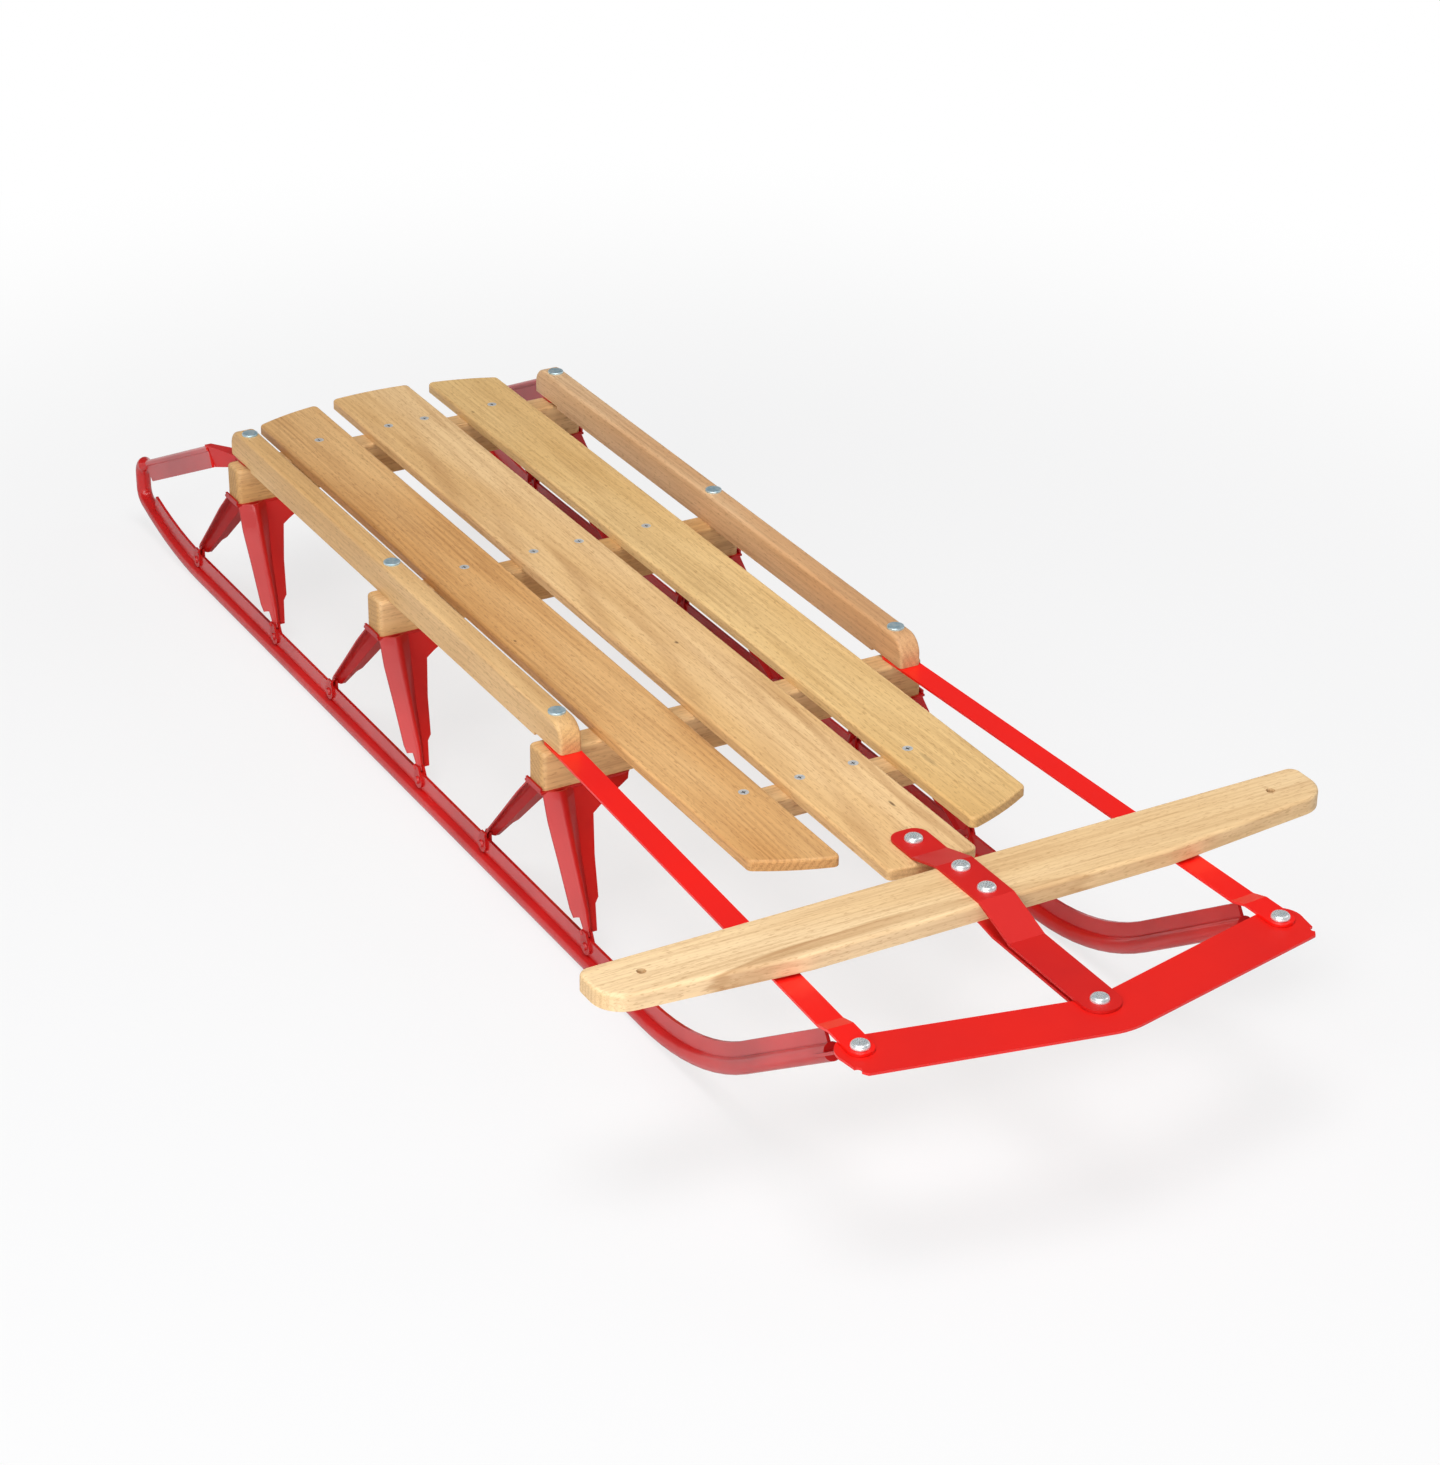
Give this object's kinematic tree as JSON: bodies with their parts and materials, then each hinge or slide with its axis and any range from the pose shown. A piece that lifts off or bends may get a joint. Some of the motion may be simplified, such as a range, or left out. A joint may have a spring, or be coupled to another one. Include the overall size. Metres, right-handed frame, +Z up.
{
  "type": "steerable wooden sled",
  "caption": "Low wooden sled on steel runners that curl up at both ends, with a slatted deck, side rails and a wooden steering bar that swings the runner noses",
  "frame": {"origin": "centre of the footprint at the underside of the runners", "axes": "+X forward along the runners, +Y to the left of a rider who faces forward, +Z up"},
  "size_m": [1.3655, 0.607, 0.1775],
  "materials": {
    "varnished_wood": "clear satin varnish",
    "red_enamel": "gloss enamel",
    "zinc_plate": "bright zinc",
    "rivet_steel": "polished"
  },
  "bodies": {
    "frame": {"slat_left": "varnished_wood", "slat_middle": "varnished_wood", "slat_right": "varnished_wood", "rail_left": "varnished_wood", "rail_right": "varnished_wood", "bench_rear": "varnished_wood", "bench_middle": "varnished_wood", "bench_front": "varnished_wood", "front_cleat": "varnished_wood", "runner_left": "red_enamel", "runner_right": "red_enamel", "standard_rear_left": "red_enamel", "standard_rear_right": "red_enamel", "standard_middle_left": "red_enamel", "standard_middle_right": "red_enamel", "standard_front_left": "red_enamel", "standard_front_right": "red_enamel", "foot_rivet_rear_left_fore": "red_enamel", "foot_rivet_rear_left_aft": "red_enamel", "foot_rivet_rear_right_fore": "red_enamel", "foot_rivet_rear_right_aft": "red_enamel", "foot_rivet_middle_left_fore": "red_enamel", "foot_rivet_middle_left_aft": "red_enamel", "foot_rivet_middle_right_fore": "red_enamel", "foot_rivet_middle_right_aft": "red_enamel", "foot_rivet_front_left_fore": "red_enamel", "foot_rivet_front_left_aft": "red_enamel", "foot_rivet_front_right_fore": "red_enamel", "foot_rivet_front_right_aft": "red_enamel", "rail_bolt_rear_left": "zinc_plate", "rail_bolt_rear_right": "zinc_plate", "rail_bolt_middle_left": "zinc_plate", "rail_bolt_middle_right": "zinc_plate", "rail_bolt_front_left": "zinc_plate", "rail_bolt_front_right": "zinc_plate", "deck_screw_rear_left": "zinc_plate", "deck_screw_rear_middle_left": "zinc_plate", "deck_screw_rear_middle_right": "zinc_plate", "deck_screw_rear_right": "zinc_plate", "deck_screw_middle_left": "zinc_plate", "deck_screw_middle_middle_left": "zinc_plate", "deck_screw_middle_middle_right": "zinc_plate", "deck_screw_middle_right": "zinc_plate", "deck_screw_front_left": "zinc_plate", "deck_screw_front_middle_left": "zinc_plate", "deck_screw_front_middle_right": "zinc_plate", "deck_screw_front_right": "zinc_plate", "pivot_rivet": "rivet_steel"},
    "steering": {"steering_bar": "varnished_wood", "steering_plate_upper": "red_enamel", "steering_plate_lower": "red_enamel", "bar_rivet_rear": "rivet_steel", "bar_rivet_front": "rivet_steel", "nose_rivet": "rivet_steel"},
    "bumper": {"bumper": "red_enamel", "corner_rivet_left": "rivet_steel", "corner_rivet_right": "rivet_steel"},
    "strap_left": {"side_strap_left": "red_enamel"},
    "strap_right": {"side_strap_right": "red_enamel"}
  },
  "joints": [
    {"name": "steering_pivot", "type": "hinge", "parent": "frame", "child": "steering", "pos_m": [0.4068, 0, 0.1665], "axis": [0, 0, 1], "range_deg": [-8, 8]},
    {"name": "bumper_pivot", "type": "hinge", "parent": "steering", "child": "bumper", "pos_m": [0.6442, 0, 0.1526], "axis": [0, 0, 1], "range_deg": [-7.49, 7.49]},
    {"name": "strap_pivot_left", "type": "hinge", "parent": "frame", "child": "strap_left", "pos_m": [0.137, 0.1517, 0.1495], "axis": [0, 0, 1], "range_deg": [-3.93, 3.93], "deforming": ["runner_left"]},
    {"name": "strap_pivot_right", "type": "hinge", "parent": "frame", "child": "strap_right", "pos_m": [0.137, -0.1517, 0.1495], "axis": [0, 0, 1], "range_deg": [-3.93, 3.93], "deforming": ["runner_right"]}
  ],
  "couplings": [
    {"joint": "bumper_pivot", "follows": "steering_pivot", "ratio": -0.9365},
    {"joint": "strap_pivot_left", "follows": "steering_pivot", "ratio": 0.4915},
    {"joint": "strap_pivot_right", "follows": "steering_pivot", "ratio": 0.4915}
  ]
}
